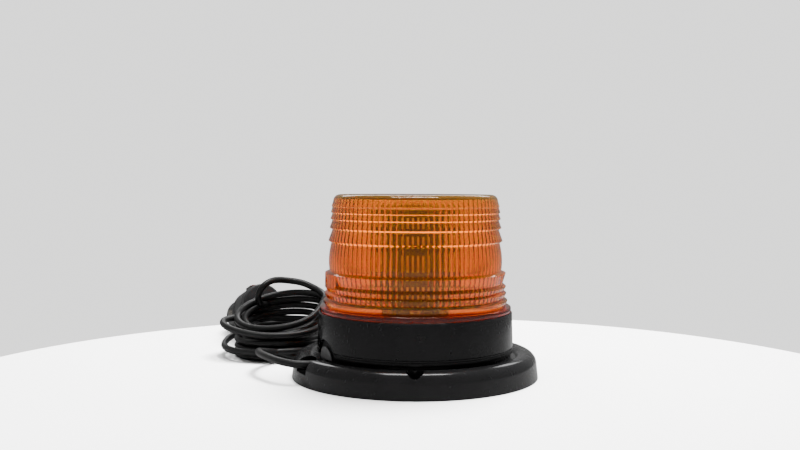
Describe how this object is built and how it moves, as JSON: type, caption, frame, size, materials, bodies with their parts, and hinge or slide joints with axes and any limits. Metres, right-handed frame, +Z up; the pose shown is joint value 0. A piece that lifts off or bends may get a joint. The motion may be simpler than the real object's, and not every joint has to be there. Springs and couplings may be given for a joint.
{
  "type": "strobe light",
  "caption": "Round warning light with a ribbed amber lens, a black housing on a magnetic flange, and a coiled cord that ends in a vehicle accessory plug.",
  "frame": {"origin": "centre of the base flange on the surface that the lamp stands on", "axes": "+Z up along the axis of the lamp, -Y towards the front, the cord leaves towards -X"},
  "size_m": [0.1873, 0.214, 0.092],
  "materials": {
    "amber_lens": "clear amber moulding, slightly glossy",
    "black_plastic": "satin moulding",
    "black_rubber": "matte",
    "grey_rubber": "matte",
    "ferrite": "dull, fired",
    "zinc_steel": "zinc plated",
    "board_green": "solder mask",
    "tower_plastic": "satin moulding",
    "led_white": "clear dome over a pale package",
    "can_sleeve": "shrink sleeve",
    "copper": "enamelled wire",
    "chip_black": "moulded",
    "terminal_green": "moulded",
    "cord_jacket": "satin sheath",
    "wire_red": "sheath",
    "wire_black": "sheath",
    "plug_plastic": "satin moulding",
    "nickel": "nickel plated",
    "rocker_red": "glossy moulding",
    "cap_plastic": "satin moulding",
    "fuse_glass": "clear"
  },
  "bodies": {
    "root": {"mount_flange": "black_plastic", "magnet_pad": "black_rubber", "magnet": "ferrite", "magnet_cup": "zinc_steel", "magnet_bolt": "zinc_steel", "magnet_washer": "zinc_steel", "magnet_nut": "zinc_steel", "housing": "black_plastic", "housing_screws": "zinc_steel", "cable_grommet": "grey_rubber", "cord_clamp": "black_plastic", "clamp_screw": "zinc_steel", "driver_board": "board_green", "board_screws": "zinc_steel", "led_core": "tower_plastic", "tower_screws": "zinc_steel", "top_board": "board_green", "top_leds": "led_white", "top_screw": "zinc_steel", "smoothing_cans": "can_sleeve", "choke_core": "ferrite", "choke_winding": "copper", "driver_chip": "chip_black", "transistors": "chip_black", "resistors": "chip_black", "terminal": "terminal_green", "cord_inner": "cord_jacket", "wire_positive": "wire_red", "wire_negative": "wire_black", "led_board_1": "board_green", "led_board_2": "board_green", "led_board_3": "board_green", "led_board_4": "board_green", "led_board_5": "board_green", "led_board_6": "board_green", "leds_1": "led_white", "leds_2": "led_white", "leds_3": "led_white", "leds_4": "led_white", "leds_5": "led_white", "leds_6": "led_white", "cord_lead": "cord_jacket", "cord_coil": "cord_jacket", "plug_shell_upper": "plug_plastic", "plug_shell_lower": "plug_plastic", "plug_screw": "zinc_steel", "strain_relief": "cord_jacket", "rocker_bezel": "plug_plastic", "tip_spring": "zinc_steel", "spring_seat": "nickel"},
    "lens_seal": {"lens_seal": "black_rubber"},
    "lens": {"lens": "amber_lens"},
    "rocker": {"rocker": "rocker_red"},
    "fuse_cap": {"fuse_cap": "cap_plastic"},
    "tip": {"tip_contact": "nickel"},
    "fuse": {"fuse_tube": "fuse_glass", "fuse_ends": "nickel"},
    "side_contact_1": {"side_contact_1": "nickel"},
    "side_contact_2": {"side_contact_2": "nickel"}
  },
  "joints": [
    {"name": "lens_lift", "type": "slide", "parent": "root", "child": "lens_seal", "axis": [0, 0, 1], "range_m": [0, 0.0034]},
    {"name": "lens_turn", "type": "hinge", "parent": "lens_seal", "child": "lens", "pos_m": [0, 0, 0.03], "axis": [0, 0, 1], "range_deg": [0, 50]},
    {"name": "rocker_tilt", "type": "hinge", "parent": "root", "child": "rocker", "pos_m": [-0.09959, 0.10557, 0.03123], "axis": [0.918, 0.3966, 0], "range_deg": [0, 16]},
    {"name": "cap_slide", "type": "slide", "parent": "root", "child": "fuse_cap", "axis": [-0.383, 0.8866, -0.2593], "range_m": [0, 0.01]},
    {"name": "tip_press", "type": "slide", "parent": "fuse_cap", "child": "tip", "axis": [0.383, -0.8866, 0.2593], "range_m": [0, 0.0025], "stiffness_N_per_m": 300, "springref_m": -0.002},
    {"name": "fuse_press", "type": "slide", "parent": "root", "child": "fuse", "axis": [0.383, -0.8866, 0.2593], "range_m": [0, 0.0025], "deforming": ["tip_spring"]},
    {"name": "side_contact_1_press", "type": "slide", "parent": "root", "child": "side_contact_1", "axis": [0.918, 0.3966, 0], "range_m": [0, 0.0009], "stiffness_N_per_m": 800, "springref_m": -0.0005},
    {"name": "side_contact_2_press", "type": "slide", "parent": "root", "child": "side_contact_2", "axis": [-0.918, -0.3966, 0], "range_m": [0, 0.0009], "stiffness_N_per_m": 800, "springref_m": -0.0005}
  ],
  "couplings": [
    {"joint": "lens_lift", "follows": "lens_turn", "m_per_rad": 0.0038197},
    {"joint": "fuse_press", "follows": "tip_press", "ratio": 1}
  ]
}
